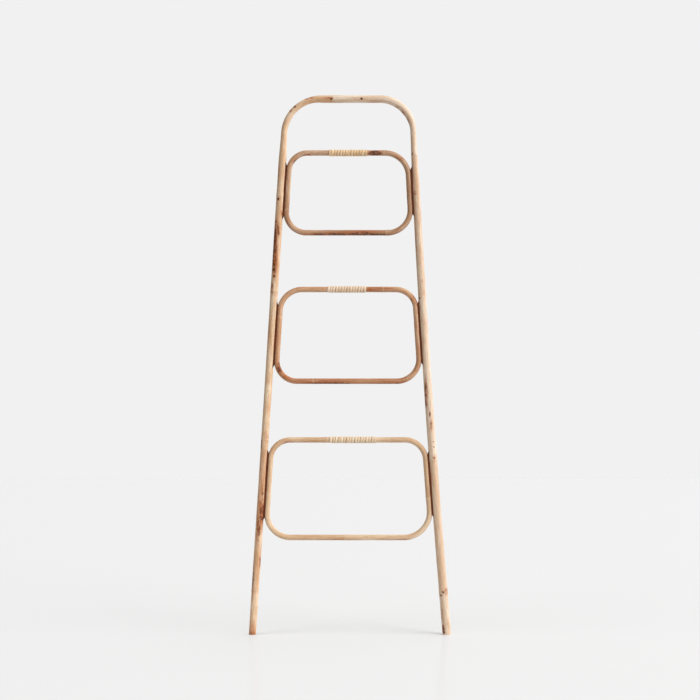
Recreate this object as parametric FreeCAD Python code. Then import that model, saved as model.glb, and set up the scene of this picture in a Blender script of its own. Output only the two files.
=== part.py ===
"""A ladder rack of bent rattan, for hanging quilts and towels.

Two thick canes are bent at the shoulder and scarfed together in the middle of the top bar.
Three hoops of thinner cane stand between the legs, each one cane whose ends meet in a scarf
under a binding of peel. A dark filler strip lies in the valley between each hoop side and its
leg, and two screws hold hoop, strip and leg together.

The rack stands upright in the XZ plane: X across, Y to the back, Z up, with the floor at Z = 0
and the origin midway between the outer edges of the feet. Millimetres and degrees.
"""
import FreeCAD, Part
import math
import os
from FreeCAD import Vector

# ---- The whole rack ----
overall_height = 1650.0
overall_width = 620.0  # outer edge to outer edge of the feet, on the floor

# ---- The two frame canes ----
# reach: middle of the rack to the leg's centreline, where the leg runs into its shoulder bend.
# bow: how far the middle of the leg stands inside a straight line from foot to shoulder.
# A leg changes evenly from foot_diameter to stem_diameter, then over neck_length it narrows to
# neck_diameter at the shoulder. The cane keeps that for neck_run past the shoulder, and over
# swell_length it thickens to head_diameter.
head_diameter = 23.4  # in the top bar, where both canes are alike
FRAME_CANES = {
    "left": {
        "side": -1,
        "reach": 201.4,
        "bow": 0.6,
        "shoulder_radius": 110.0,
        "foot_diameter": 22.2,
        "stem_diameter": 23.8,
        "neck_diameter": 19.2,
        "neck_length": 95.0,
        "neck_run": 120.0,
        "swell_length": 70.0,
    },
    "right": {
        "side": 1,
        "reach": 193.2,
        "bow": 7.2,
        "shoulder_radius": 102.0,
        "foot_diameter": 26.8,
        "stem_diameter": 23.2,
        "neck_diameter": 17.4,
        "neck_length": 210.0,
        "neck_run": 0.0,
        "swell_length": 75.0,
    },
}
frame_scarf_centre = -10.5  # X of the middle of the scarf in the top bar
frame_scarf_length = 106.0

# ---- The three hoops ----
# drop: top bar's centreline to the hoop's upper rail. height: upper rail to lower rail.
# radii: bends of the centreline at the upper and the lower end of each side.
hoop_diameter = 17.0
hoop_scarf_length = 60.0
HOOPS = {
    "top": {
        "drop": 164.9,
        "height": 244.2,
        "radii": {"left": (58.0, 62.0), "right": (72.0, 70.0)},
        "binding_centre": -6.3,
        "turns": 14,
        "screw_spacing": 76.0,
    },
    "middle": {
        "drop": 582.7,
        "height": 280.8,
        "radii": {"left": (68.0, 62.0), "right": (62.0, 68.0)},
        "binding_centre": -10.3,
        "turns": 14,
        "screw_spacing": 96.0,
    },
    "bottom": {
        "drop": 1043.1,
        "height": 298.7,
        "radii": {"left": (61.0, 72.0), "right": (64.0, 78.0)},
        "binding_centre": 9.3,
        "turns": 17,
        "screw_spacing": 100.0,
    },
}

# ---- Bindings of peel ----
turn_pitch = 8.5
peel_thickness = 1.8
turn_crown = 0.55  # how far the middle of a turn stands above the groove beside it

# ---- Filler strips between hoops and legs ----
strip_waist = 0.9  # between the crest of the leg and the crest of the hoop
strip_depth = 14.0  # front to back
strip_overrun = 2.0  # past each end of the hoop's straight side, into the wedge where it bends away
strip_run_out = 45.0  # from there its end slants on, over the space from centreline to centreline,
# and so it runs out in a point against the leg

# ---- Screws, nails and brads ----
screw_diameter = 3.5
screw_head_diameter = 7.0
screw_head_sink = 0.9  # head below the crest of the hoop
screw_grip = 15.0  # length held in the leg
recess_width = 1.0
recess_depth = 1.6
nail_diameter = 1.8
nail_head_diameter = 4.0
nail_head_height = 0.8
nail_sink = 0.3
nail_end_margin = 7.0  # from the feather edge of a scarf to its nail
nail_cover = 2.5  # cane left beyond the point of a nail
brad_diameter = 1.2
brad_head_diameter = 2.8
brad_head_height = 0.6
brad_length = 11.0

# ---- Clearances ----
hole_clearance = 0.05  # round every screw, nail and brad
glue_line = 0.15  # between glued faces
peel_clearance = 0.12  # between a hoop and the binding round it

hoop_radius = hoop_diameter / 2
head_radius = head_diameter / 2
bar_height = overall_height - head_radius
OVERRUN = 30.0  # stock left on before an end is cut off
STEM_STEPS = 6  # lengths between the sections that each stem is drawn through
NECK_STEPS = 6
BEND_STEPS = 10
FRONT = Vector(0, -1, 0)
BACK = Vector(0, 1, 0)


# ---- Lines of the legs ----
def add_leg_arc(cane):
    """Work out the flat arc of the leg, from the foot on the floor to the shoulder.

    The arc's ends depend on its lean there, and the lean on the ends, so both settle in a few rounds.
    """
    radius = cane["shoulder_radius"]
    foot_lean = head_lean = 0.0
    for _ in range(6):
        cane["foot_centre"] = overall_width / 2 - cane["foot_diameter"] / 2 / math.cos(foot_lean)
        cane["shoulder_height"] = bar_height - radius + radius * math.sin(head_lean)
        spread = cane["foot_centre"] - cane["reach"]
        chord = math.hypot(spread, cane["shoulder_height"])
        chord_lean = math.atan2(spread, cane["shoulder_height"])
        half_turn = 2 * math.atan(2 * cane["bow"] / chord)
        foot_lean, head_lean = chord_lean + half_turn, chord_lean - half_turn
    cane["foot_lean"] = foot_lean
    cane["curvature"] = 2 * math.sin(half_turn) / chord


def leg_at(cane, height):
    """(outward distance, lean in radians) of the leg's centreline at a height."""
    foot, curvature = cane["foot_lean"], cane["curvature"]
    if curvature == 0:
        return cane["foot_centre"] - height * math.tan(foot), foot
    lean = math.asin(math.sin(foot) - curvature * height)
    return cane["foot_centre"] + (math.cos(foot) - math.cos(lean)) / curvature, lean


def eased(share):
    """From 0 to 1, starting and ending gently."""
    share = max(0.0, min(1.0, share))
    return share * share * (3 - 2 * share)


def stem_top(cane):
    """Height at which the leg starts to narrow."""
    return cane["shoulder_height"] - cane["neck_length"]


def leg_radius_at(cane, height):
    taper = min(height / stem_top(cane), 1.0)
    diameter = cane["foot_diameter"] + (cane["stem_diameter"] - cane["foot_diameter"]) * taper
    necking = eased((height - stem_top(cane)) / cane["neck_length"])
    return (diameter + (cane["neck_diameter"] - diameter) * necking) / 2


def head_radius_at(cane, travelled):
    """Radius past the shoulder, at a distance along the centreline."""
    swelling = eased((travelled - cane["neck_run"]) / cane["swell_length"])
    return (cane["neck_diameter"] + (head_diameter - cane["neck_diameter"]) * swelling) / 2


def leg_point(cane, height):
    outward, _ = leg_at(cane, height)
    return Vector(cane["side"] * outward, 0, height)


def leg_direction(cane, height):
    """Unit vector up along the leg."""
    _, lean = leg_at(cane, height)
    return Vector(-cane["side"] * math.sin(lean), 0, math.cos(lean))


def inward_normal(cane, height):
    """Unit vector square to the leg, towards the middle of the rack."""
    _, lean = leg_at(cane, height)
    return Vector(-cane["side"] * math.cos(lean), 0, -math.sin(lean))


# ---- Round stock ----
def disc(centre, axis, radius):
    """A circle round an axis in the XZ plane, with its seam at the back, clear of the screws."""
    side = axis.cross(BACK).normalize()
    circle = Part.Circle(centre + BACK * radius, centre + side * radius, centre - BACK * radius)
    return Part.Wire([circle.toShape()])


def straight_run(start, end, radius):
    along = end - start
    return Part.makeCylinder(radius, along.Length, start, along)


def bend(centre, start, end, radius):
    """Part of a ring round the Y direction, from start to end, both at the same distance from centre."""
    turn = (start - centre).cross(end - centre)
    angle = math.degrees((start - centre).getAngle(end - centre))
    section = Part.Face(disc(start, turn.cross(start - centre), radius))
    return section.revolve(centre, turn, angle)


def fused(shapes):
    whole = shapes[0].multiFuse(shapes[1:]).removeSplitter()
    return whole.Solids[0]


def half_space(point, normal, size=2000.0):
    """A block that fills the side of a plane that normal points to."""
    block = Part.makeBox(size, size, size, Vector(-size / 2, -size / 2, 0))
    block.Placement = FreeCAD.Placement(point, FreeCAD.Rotation(Vector(0, 0, 1), normal))
    return block


def export(shape, node):
    shape.exportStep(os.path.join("parts", node + ".step"))


# ---- Frame canes ----
def shoulder_centre(cane):
    top = cane["shoulder_height"]
    return leg_point(cane, top) + inward_normal(cane, top) * cane["shoulder_radius"]


def leg_length(cane, low, high, steps, allowance):
    """A length of the leg drawn through evenly spaced sections, because uneven ones make it wavy."""
    heights = [low + (high - low) * step / steps for step in range(steps + 1)]
    return Part.makeLoft([
        disc(leg_point(cane, z), leg_direction(cane, z), leg_radius_at(cane, z) + allowance)
        for z in heights
    ], True)


def leg_stock(cane, allowance=0.0):
    """The tapered leg from below the floor to the shoulder, thicker by allowance all round."""
    neck = stem_top(cane)
    stem = leg_length(cane, -OVERRUN, neck, STEM_STEPS, allowance)
    narrowing = leg_length(cane, neck, cane["shoulder_height"], NECK_STEPS, allowance)
    return fused([stem, narrowing])


def shoulder_turn(cane):
    """Angle of the shoulder bend."""
    return math.pi / 2 - leg_at(cane, cane["shoulder_height"])[1]


def shoulder_stock(cane):
    """The bend from the top of the leg to the top bar, its thickness changing on the way."""
    centre = shoulder_centre(cane)
    lean = math.pi / 2 - shoulder_turn(cane)
    sections = []
    for step in range(BEND_STEPS + 1):
        turned = shoulder_turn(cane) * step / BEND_STEPS
        outward = Vector(cane["side"] * math.cos(lean + turned), 0, math.sin(lean + turned))
        direction = Vector(-cane["side"] * outward.z, 0, cane["side"] * outward.x)
        radius = head_radius_at(cane, cane["shoulder_radius"] * turned)
        sections.append(disc(centre + outward * cane["shoulder_radius"], direction, radius))
    return Part.makeLoft(sections, True)


def bar_stock(cane):
    """The top bar past the scarf, as lengths: a cone while the cane still thickens, then a cylinder."""
    start = Vector(shoulder_centre(cane).x, 0, bar_height)
    end = Vector(frame_scarf_centre - cane["side"] * (frame_scarf_length / 2 + OVERRUN), 0, bar_height)
    travelled = cane["shoulder_radius"] * shoulder_turn(cane)
    swelling_left = cane["neck_run"] + cane["swell_length"] - travelled
    if swelling_left <= 0:
        return [straight_run(start, end, head_radius)]
    inward = Vector(-cane["side"], 0, 0)
    full = start + inward * swelling_left
    cone = Part.makeCone(head_radius_at(cane, travelled), head_radius, swelling_left, start, inward)
    return [cone, straight_run(full, end, head_radius)]


def scarf_normal(length, diameter):
    """Normal of a scarf that crosses the cane from front to back over its length, facing the back."""
    return Vector(-diameter, length, 0).normalize()


def frame_cane(cane):
    blank = fused([leg_stock(cane), shoulder_stock(cane)] + bar_stock(cane))
    blank = blank.cut(half_space(Vector(0, 0, 0), Vector(0, 0, -1)))
    # the right cane keeps the front of the scarf, and the left cane the back
    kept = scarf_normal(frame_scarf_length, head_diameter) * -cane["side"]
    face = Vector(frame_scarf_centre, 0, bar_height) + kept * (glue_line / 2)
    return blank.cut(half_space(face, kept * -1)).Solids[0]


# ---- Hoops ----
def upper_rail(hoop):
    return bar_height - hoop["drop"]


def lower_rail(hoop):
    return upper_rail(hoop) - hoop["height"]


def hoop_side(hoop, cane):
    """(point, direction) of the hoop's side, which runs parallel to the leg beside it."""
    middle = upper_rail(hoop) - hoop["height"] / 2
    offset = leg_radius_at(cane, middle) + strip_waist + hoop_radius
    point = leg_point(cane, middle) + inward_normal(cane, middle) * offset
    return point, leg_direction(cane, middle)


def side_corner(hoop, cane, rail):
    """Where the line of the side meets the line of a rail."""
    point, direction = hoop_side(hoop, cane)
    return point + direction * ((rail - point.z) / direction.z)


def rounded_corner(before, corner, after, radius):
    """(start, centre, end) of the arc that rounds a corner between two lines."""
    back = (before - corner).normalize()
    ahead = (after - corner).normalize()
    half = back.getAngle(ahead) / 2
    reach = radius / math.tan(half)
    centre = corner + (back + ahead).normalize() * (radius / math.sin(half))
    return corner + back * reach, centre, corner + ahead * reach


def hoop_arcs(hoop):
    """The four rounded corners: upper left, upper right, lower right, lower left."""
    left, right = FRAME_CANES["left"], FRAME_CANES["right"]
    upper, lower = upper_rail(hoop), lower_rail(hoop)
    corners = [
        side_corner(hoop, left, upper),
        side_corner(hoop, right, upper),
        side_corner(hoop, right, lower),
        side_corner(hoop, left, lower),
    ]
    left_radii, right_radii = hoop["radii"]["left"], hoop["radii"]["right"]
    radii = [left_radii[0], right_radii[0], right_radii[1], left_radii[1]]
    return [
        rounded_corner(corners[i - 1], corners[i], corners[(i + 1) % 4], radii[i])
        for i in range(4)
    ]


def hoop_cane(hoop):
    """The closed hoop, parted by the thin slanting glue line of its scarf."""
    arcs = hoop_arcs(hoop)
    pieces = []
    for i, (start, centre, end) in enumerate(arcs):
        pieces.append(bend(centre, start, end, hoop_radius))
        pieces.append(straight_run(end, arcs[(i + 1) % 4][0], hoop_radius))
    ring = fused(pieces)
    middle = Vector(hoop["binding_centre"], 0, upper_rail(hoop))
    normal = scarf_normal(hoop_scarf_length, hoop_diameter)
    reach = hoop_scarf_length + hoop_diameter
    slab = Part.makeBox(reach, reach, glue_line, Vector(-reach / 2, -reach / 2, -glue_line / 2))
    slab.Placement = FreeCAD.Placement(middle, FreeCAD.Rotation(Vector(0, 0, 1), normal))
    return ring.cut(slab).Solids[0]


# ---- Bindings ----
def binding_length(hoop):
    return hoop["turns"] * turn_pitch


def binding(hoop):
    """The wound peel as one sleeve, with a crowned ring for each turn."""
    start = hoop["binding_centre"] - binding_length(hoop) / 2
    bore = hoop_radius + peel_clearance
    groove = hoop_radius + peel_thickness - turn_crown
    axis = Vector(0, 0, upper_rail(hoop))

    def at(x, radius):
        return axis + Vector(x, 0, radius)

    ends = [start + i * turn_pitch for i in range(hoop["turns"] + 1)]
    edges = [
        Part.Arc(at(a, groove), at((a + b) / 2, groove + turn_crown), at(b, groove)).toShape()
        for a, b in zip(ends[:-1], ends[1:])
    ]
    edges.append(Part.LineSegment(at(ends[-1], groove), at(ends[-1], bore)).toShape())
    edges.append(Part.LineSegment(at(ends[-1], bore), at(ends[0], bore)).toShape())
    edges.append(Part.LineSegment(at(ends[0], bore), at(ends[0], groove)).toShape())
    return Part.Face(Part.Wire(edges)).revolve(axis, Vector(1, 0, 0), 360)


# ---- Filler strips ----
def side_ends(hoop, cane):
    """Lower and upper end of the straight run of the hoop's side."""
    arcs = hoop_arcs(hoop)
    if cane["side"] > 0:
        return arcs[2][0], arcs[1][2]
    return arcs[3][2], arcs[0][0]


def filler_strip(hoop, cane):
    """A strip hollowed on both faces to the rounds of the leg and the hoop."""
    low, high = side_ends(hoop, cane)
    along = (high - low).normalize()
    outward = inward_normal(cane, (low.z + high.z) / 2) * -1
    width = strip_waist + hoop_radius + leg_radius_at(cane, low.z)
    low_end = low - along * strip_overrun + BACK * (strip_depth / 2)
    high_end = high + along * strip_overrun + BACK * (strip_depth / 2)
    outline = Part.makePolygon([
        low_end,
        high_end,
        high_end + outward * width + along * strip_run_out,
        low_end + outward * width - along * strip_run_out,
        low_end,
    ])
    blank = Part.Face(outline).extrude(FRONT * strip_depth)
    margin = along * (strip_overrun + strip_run_out)
    blank = blank.cut(straight_run(low - margin, high + margin, hoop_radius + glue_line))
    return blank.cut(leg_stock(cane, glue_line)).Solids[0]


# ---- Screws, nails and brads ----
def pin(crest, inward, length, shank_diameter, cap_diameter, cap_height, sink, allowance):
    """A straight fastener with a cylindrical head, its head sunk below the crest of a round.

    With an allowance it is the tool that cuts its hole, open at the surface.
    """
    top = crest + inward * sink
    mouth = top - inward * (OVERRUN if allowance else 0.0)
    seat = top + inward * (cap_height + allowance)
    head = straight_run(mouth, seat, cap_diameter / 2 + allowance)
    shank = straight_run(top, top + inward * (length + allowance), shank_diameter / 2 + allowance)
    return head.fuse(shank).removeSplitter().Solids[0]


def screw_axes(hoop, cane):
    """(crest on the hoop's inner side, direction outward) of the two screws."""
    point, direction = hoop_side(hoop, cane)
    outward = inward_normal(cane, point.z) * -1
    step = hoop["screw_spacing"] / 2
    return [(point + direction * k - outward * hoop_radius, outward) for k in (-step, step)]


def screw(crest, outward, up, allowance=0.0):
    """A countersunk screw with a crossed recess, or with an allowance the tool for its hole."""
    top = crest + outward * screw_head_sink
    rim = screw_head_diameter / 2 + allowance
    shank_radius = screw_diameter / 2 + allowance
    length = hoop_diameter - screw_head_sink + strip_waist + screw_grip + allowance
    head = Part.makeCone(rim, shank_radius, rim - shank_radius, top, outward)
    solid = head.fuse(straight_run(top, top + outward * length, shank_radius))
    if allowance:
        mouth = straight_run(top - outward * (2 * screw_head_sink), top, rim)
        return solid.fuse(mouth).removeSplitter().Solids[0]
    for blade in (up, BACK):
        reach = screw_head_diameter * 0.6
        side = outward.cross(blade) * recess_width
        start = top - blade * (reach / 2) - side / 2
        end = start + blade * reach
        outline = Part.makePolygon([start, end, end + side, start + side, start])
        slot = Part.Face(outline).extrude(outward * recess_depth)
        solid = solid.cut(slot)
    return solid.removeSplitter().Solids[0]


def scarf_nails(centre_x, length, axis_height, cane_radius, allowance=0.0):
    """Two nails from the front, one near each feather edge of a scarf."""
    reach = length / 2 - nail_end_margin
    nail_length = 2 * cane_radius - nail_sink - nail_cover
    return [
        pin(
            Vector(centre_x + k, -cane_radius, axis_height), BACK, nail_length,
            nail_diameter, nail_head_diameter, nail_head_height, nail_sink, allowance,
        )
        for k in (-reach, reach)
    ]


def binding_brads(hoop, allowance=0.0):
    """Two brads from the back, one in the first turn and one in the last."""
    reach = (binding_length(hoop) - turn_pitch) / 2
    crest = hoop_radius + peel_thickness
    return [
        pin(
            Vector(hoop["binding_centre"] + k, crest, upper_rail(hoop)), FRONT, brad_length,
            brad_diameter, brad_head_diameter, brad_head_height, 0.0, allowance,
        )
        for k in (-reach, reach)
    ]


def drilled(solid, tools):
    return solid.cut(tools).Solids[0]


# ---- Put together ----
def build_frame():
    tools = scarf_nails(frame_scarf_centre, frame_scarf_length, bar_height, head_radius, hole_clearance)
    for name, cane in FRAME_CANES.items():
        screw_tools = [
            screw(crest, outward, leg_direction(cane, crest.z), hole_clearance)
            for hoop in HOOPS.values()
            for crest, outward in screw_axes(hoop, cane)
        ]
        export(drilled(frame_cane(cane), tools + screw_tools), "frame_cane_" + name)
    nails = scarf_nails(frame_scarf_centre, frame_scarf_length, bar_height, head_radius)
    export(Part.makeCompound(nails), "frame_scarf_nails")


def build_hoop(name, hoop):
    scarf = (hoop["binding_centre"], hoop_scarf_length, upper_rail(hoop), hoop_radius)
    nails, nail_tools = scarf_nails(*scarf), scarf_nails(*scarf, hole_clearance)
    brads, brad_tools = binding_brads(hoop), binding_brads(hoop, hole_clearance)
    screw_tools = []
    for side, cane in FRAME_CANES.items():
        up = hoop_side(hoop, cane)[1]
        axes = screw_axes(hoop, cane)
        tools = [screw(crest, outward, up, hole_clearance) for crest, outward in axes]
        screws = [screw(crest, outward, up) for crest, outward in axes]
        export(Part.makeCompound(screws), f"hoop_{name}_screws_{side}")
        export(drilled(filler_strip(hoop, cane), tools), f"hoop_{name}_filler_{side}")
        screw_tools += tools
    export(drilled(hoop_cane(hoop), nail_tools + brad_tools + screw_tools), f"hoop_{name}_cane")
    export(drilled(binding(hoop), brad_tools), f"hoop_{name}_binding")
    export(Part.makeCompound(nails), f"hoop_{name}_scarf_nails")
    export(Part.makeCompound(brads), f"hoop_{name}_binding_brads")


os.makedirs("parts", exist_ok=True)
for frame_side in FRAME_CANES.values():
    add_leg_arc(frame_side)
build_frame()
for hoop_name, hoop_sizes in HOOPS.items():
    build_hoop(hoop_name, hoop_sizes)
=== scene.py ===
import math
import random

import bmesh
import bpy
import numpy as np
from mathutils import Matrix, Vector, noise


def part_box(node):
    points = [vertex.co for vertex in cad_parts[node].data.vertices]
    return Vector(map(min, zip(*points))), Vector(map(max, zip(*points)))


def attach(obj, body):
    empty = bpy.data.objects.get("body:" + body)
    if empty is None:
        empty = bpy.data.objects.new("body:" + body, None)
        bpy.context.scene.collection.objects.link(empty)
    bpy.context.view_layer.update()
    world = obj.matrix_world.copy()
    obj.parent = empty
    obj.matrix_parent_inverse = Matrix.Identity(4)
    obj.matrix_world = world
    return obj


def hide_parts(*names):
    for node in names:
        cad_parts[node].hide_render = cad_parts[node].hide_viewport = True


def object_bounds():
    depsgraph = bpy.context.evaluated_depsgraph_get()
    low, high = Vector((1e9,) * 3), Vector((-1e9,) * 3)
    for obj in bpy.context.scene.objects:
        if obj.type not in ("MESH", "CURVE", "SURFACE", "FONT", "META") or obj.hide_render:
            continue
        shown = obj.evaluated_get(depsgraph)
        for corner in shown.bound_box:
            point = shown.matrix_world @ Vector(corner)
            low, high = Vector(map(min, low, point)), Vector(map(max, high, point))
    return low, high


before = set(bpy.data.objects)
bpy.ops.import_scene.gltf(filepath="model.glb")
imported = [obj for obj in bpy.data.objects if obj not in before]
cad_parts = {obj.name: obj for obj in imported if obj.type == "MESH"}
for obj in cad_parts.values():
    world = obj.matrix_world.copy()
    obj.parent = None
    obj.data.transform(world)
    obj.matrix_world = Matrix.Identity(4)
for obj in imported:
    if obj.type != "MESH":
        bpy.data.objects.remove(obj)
cad_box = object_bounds()
scene = bpy.context.scene
MM = 0.001

# ---------------------------------------------------------------------------
# The frame canes.
# Two thick rattan poles with the skin left on, each steamed and bent round at one shoulder.
# The feet are sawn level, and the thin ends are scarfed, glued and nailed in the middle of the top bar.
# ---------------------------------------------------------------------------
HEAD_RADIUS = 11.7 * MM
BAR_Z = cad_box[1][2] - HEAD_RADIUS
HALF_WIDTH = (cad_box[1][0] - cad_box[0][0]) / 2
SCARF_X = -10.5 * MM
SCARF_LENGTH = 106.0 * MM
GLUE = 0.15 * MM  # between the two faces of a scarf
BELOW_FLOOR = 12.0 * MM  # spare length at the foot, sawn off level
PAST_SCARF = 4.0 * MM  # spare length in the bar, sawn off on the slant of the scarf
RING_STEP = 2.0 * MM  # along a cane from one ring of points to the next
# Each cane has foot_radius at the floor and stem_radius where its neck begins. The neck narrows to
# neck_radius at the shoulder, and after neck_run it swells again to the radius of the bar.
# reach is how far out the shoulder is, and bow how far the leg curves inward from a straight line.
LEGS = {
    "left": {
        "side": -1,
        "reach": 201.4 * MM,
        "bow": 0.6 * MM,
        "bend": 110.0 * MM,
        "foot_radius": 11.1 * MM,
        "stem_radius": 11.9 * MM,
        "neck_radius": 9.6 * MM,
        "neck": 95.0 * MM,
        "neck_run": 120.0 * MM,
        "swell": 70.0 * MM,
    },
    "right": {
        "side": 1,
        "reach": 193.2 * MM,
        "bow": 7.2 * MM,
        "bend": 102.0 * MM,
        "foot_radius": 13.4 * MM,
        "stem_radius": 11.6 * MM,
        "neck_radius": 8.7 * MM,
        "neck": 210.0 * MM,
        "neck_run": 0.0,
        "swell": 75.0 * MM,
    },
}
for leg in LEGS.values():
    # the lean and the places of the foot and shoulder depend on each other, so they settle by turns
    foot_lean = head_lean = 0.0
    for _ in range(6):
        leg["foot"] = HALF_WIDTH - leg["foot_radius"] / math.cos(foot_lean)
        leg["shoulder"] = BAR_Z - leg["bend"] * (1 - math.sin(head_lean))
        spread = leg["foot"] - leg["reach"]
        chord = math.hypot(spread, leg["shoulder"])
        half_turn = 2 * math.atan(2 * leg["bow"] / chord)
        foot_lean = math.atan2(spread, leg["shoulder"]) + half_turn
        head_lean = foot_lean - 2 * half_turn
    leg["foot_lean"] = foot_lean
    leg["curvature"] = 2 * math.sin(half_turn) / chord


def leg_at(leg, height):
    """Centre of the leg at a height, and its lean from upright."""
    lean = math.asin(math.sin(leg["foot_lean"]) - leg["curvature"] * height)
    outward = leg["foot"] + (math.cos(leg["foot_lean"]) - math.cos(lean)) / leg["curvature"]
    return Vector((leg["side"] * outward, 0, height)), lean


def eased(share):
    """A share from 0 to 1, made to start and end gently."""
    share = max(0.0, min(1.0, share))
    return share * share * (3 - 2 * share)


def leg_radius(leg, height):
    """Radius of the leg at a height up to its shoulder."""
    stem_top = leg["shoulder"] - leg["neck"]
    stem = leg["foot_radius"] + (leg["stem_radius"] - leg["foot_radius"]) * min(height / stem_top, 1.0)
    return stem + (leg["neck_radius"] - stem) * eased((height - stem_top) / leg["neck"])


def outward_of(leg, lean):
    """The way outward from the leg, square to it."""
    return Vector((leg["side"] * math.cos(lean), 0, math.sin(lean)))


def leg_line(leg):
    """Points and radii up the leg from below the floor, round the shoulder and past the scarf."""
    heights = np.arange(-BELOW_FLOOR, leg["shoulder"], RING_STEP)
    points = [leg_at(leg, height)[0] for height in heights]
    radii = [leg_radius(leg, height) for height in heights]
    shoulder, lean = leg_at(leg, leg["shoulder"])
    centre = shoulder - outward_of(leg, lean) * leg["bend"]
    bend_length = leg["bend"] * (math.pi / 2 - lean)
    bar_length = abs(centre.x - SCARF_X) + SCARF_LENGTH / 2 + PAST_SCARF
    for travelled in np.arange(0, bend_length + bar_length, RING_STEP):
        if travelled < bend_length:
            points.append(centre + outward_of(leg, lean + travelled / leg["bend"]) * leg["bend"])
        else:
            points.append(Vector((centre.x - leg["side"] * (travelled - bend_length), 0, BAR_Z)))
        swelling = eased((travelled - leg["neck_run"]) / leg["swell"])
        radii.append(leg["neck_radius"] + (HEAD_RADIUS - leg["neck_radius"]) * swelling)
    return points, radii


def travel_along(line):
    """Distance along a line from its first point to each of its points."""
    return np.concatenate([[0.0], np.cumsum([(b - a).length for a, b in zip(line[:-1], line[1:])])])


def keep(mesh, label, values):
    """Stores each point's value on its corners, which carry it through the cuts made in the mesh."""
    values = np.array(values, np.float32)
    corners = np.empty(len(mesh.loops), np.int32)
    mesh.loops.foreach_get("vertex_index", corners)
    kind, field = ("FLOAT_VECTOR", "vector") if values.ndim == 2 else ("FLOAT", "value")
    attribute = mesh.attributes.new(label, kind, "CORNER")
    attribute.data.foreach_set(field, values[corners].ravel())


def lay_out(mesh, count, segments, length):
    """Lays the skin flat in rows side by side, so that a baked map wastes little room.

    Each row is a stretch of the cane, slit open along its length. The two ends lie past the rows.
    """
    girth = 2 * math.pi * 10 * MM  # of a middling cane
    margin = 0.02  # of a row's width, left free on either side of it
    end_radius = 0.35  # of a row's width
    rows = max(1, round(math.sqrt(length / girth)))
    rings = math.ceil((count - 1) / rows)
    flat = np.zeros((len(mesh.loops), 2), np.float32)
    corner = 0
    for i in range(count - 1):
        row, place = divmod(i, rings)
        left, right = (place + 0.5) / (rings + 1), (place + 1.5) / (rings + 1)
        for j in range(segments):
            low = (row + margin + (1 - 2 * margin) * j / segments) / (rows + 1)
            high = (row + margin + (1 - 2 * margin) * (j + 1) / segments) / (rows + 1)
            flat[corner:corner + 4] = ((left, low), (left, high), (right, high), (right, low))
            corner += 4
    for end in range(2):
        for j in range(segments):
            turn = 2 * math.pi * j / segments
            u = (0.5 + end + end_radius * math.cos(turn)) / (rows + 1)
            flat[corner] = (u, (rows + 0.5 + end_radius * math.sin(turn)) / (rows + 1))
            corner += 1
    mesh.uv_layers.new(name="OFBake").uv.foreach_set("vector", flat.ravel())


# Sizes of a node and of the unevenness of a cane, where a share is a share of the cane's radius.
NODE_SWELL, NODE_SPREAD = 0.04, 8.0 * MM
LEDGE_DEPTH, LEDGE_ABOVE, LEDGE_SPREAD = 0.018, 1.5 * MM, 1.3 * MM
LONG_WAVE, SHORT_WAVE = 0.02, 0.006
FAR_FROM_NODE = 50.0 * MM


def cane(name, line, radii, nodes, seed, segments):
    """A rattan cane round a line in the XZ plane, with swollen nodes and a slightly uneven skin.

    nodes gives each node's distance along the line, its tilt and the side it tilts to.
    The corners of the mesh keep the cane as it grew: grain is the place in the straight cane,
    node_gap the distance to the nearest node, and internode a number from 0 to 1 for its length.
    """
    count = len(line)
    travel = travel_along(line)
    dice = random.Random(seed)
    tones = [dice.random() for _ in range(len(nodes) + 1)]
    points, grain, node_gap, internode = [], [], [], []
    for i, centre in enumerate(line):
        along = (line[min(i + 1, count - 1)] - line[max(i - 1, 0)]).normalized()
        sideways = along.cross(Vector((0, 1, 0)))
        base = radii[i]
        for j in range(segments):
            turn = 2 * math.pi * j / segments
            cosine, sine = math.cos(turn), math.sin(turn)
            gaps = [travel[i] - at - tilt * base * math.cos(turn - face) for at, tilt, face in nodes]
            gap = min(gaps, key=abs)
            passed = sum(1 for value in gaps if value > 0)
            swell = NODE_SWELL * math.exp(-((gap / NODE_SPREAD) ** 2))
            ledge = -LEDGE_DEPTH * math.exp(-(((gap - LEDGE_ABOVE) / LEDGE_SPREAD) ** 2))
            # long waves about 110 mm along the cane, and short ones about 20 mm
            where = Vector((travel[i] * 9 + seed, cosine * 0.8, sine * 0.8))
            uneven = LONG_WAVE * noise.noise(where) + SHORT_WAVE * noise.noise(where * 5.1)
            radius = base * (1 + swell + ledge + uneven)
            points.append(centre + sideways * (radius * cosine) + Vector((0, radius * sine, 0)))
            grain.append((travel[i] + seed, base * cosine, base * sine))
            node_gap.append(max(-FAR_FROM_NODE, min(FAR_FROM_NODE, gap)))
            internode.append(tones[passed])
    faces = []
    for i in range(count - 1):
        here, there = i * segments, (i + 1) * segments
        for j in range(segments):
            k = (j + 1) % segments
            faces.append((here + j, here + k, there + k, there + j))
    faces.append(tuple(reversed(range(segments))))
    faces.append(tuple(range((count - 1) * segments, count * segments)))
    mesh = bpy.data.meshes.new(name)
    mesh.from_pydata([tuple(point) for point in points], [], faces)
    mesh.polygons.foreach_set("use_smooth", [True] * len(faces))
    keep(mesh, "grain", grain)
    keep(mesh, "node_gap", node_gap)
    keep(mesh, "internode", internode)
    lay_out(mesh, count, segments, travel[-1])
    piece = bpy.data.objects.new(name, mesh)
    scene.collection.objects.link(piece)
    return piece


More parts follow.
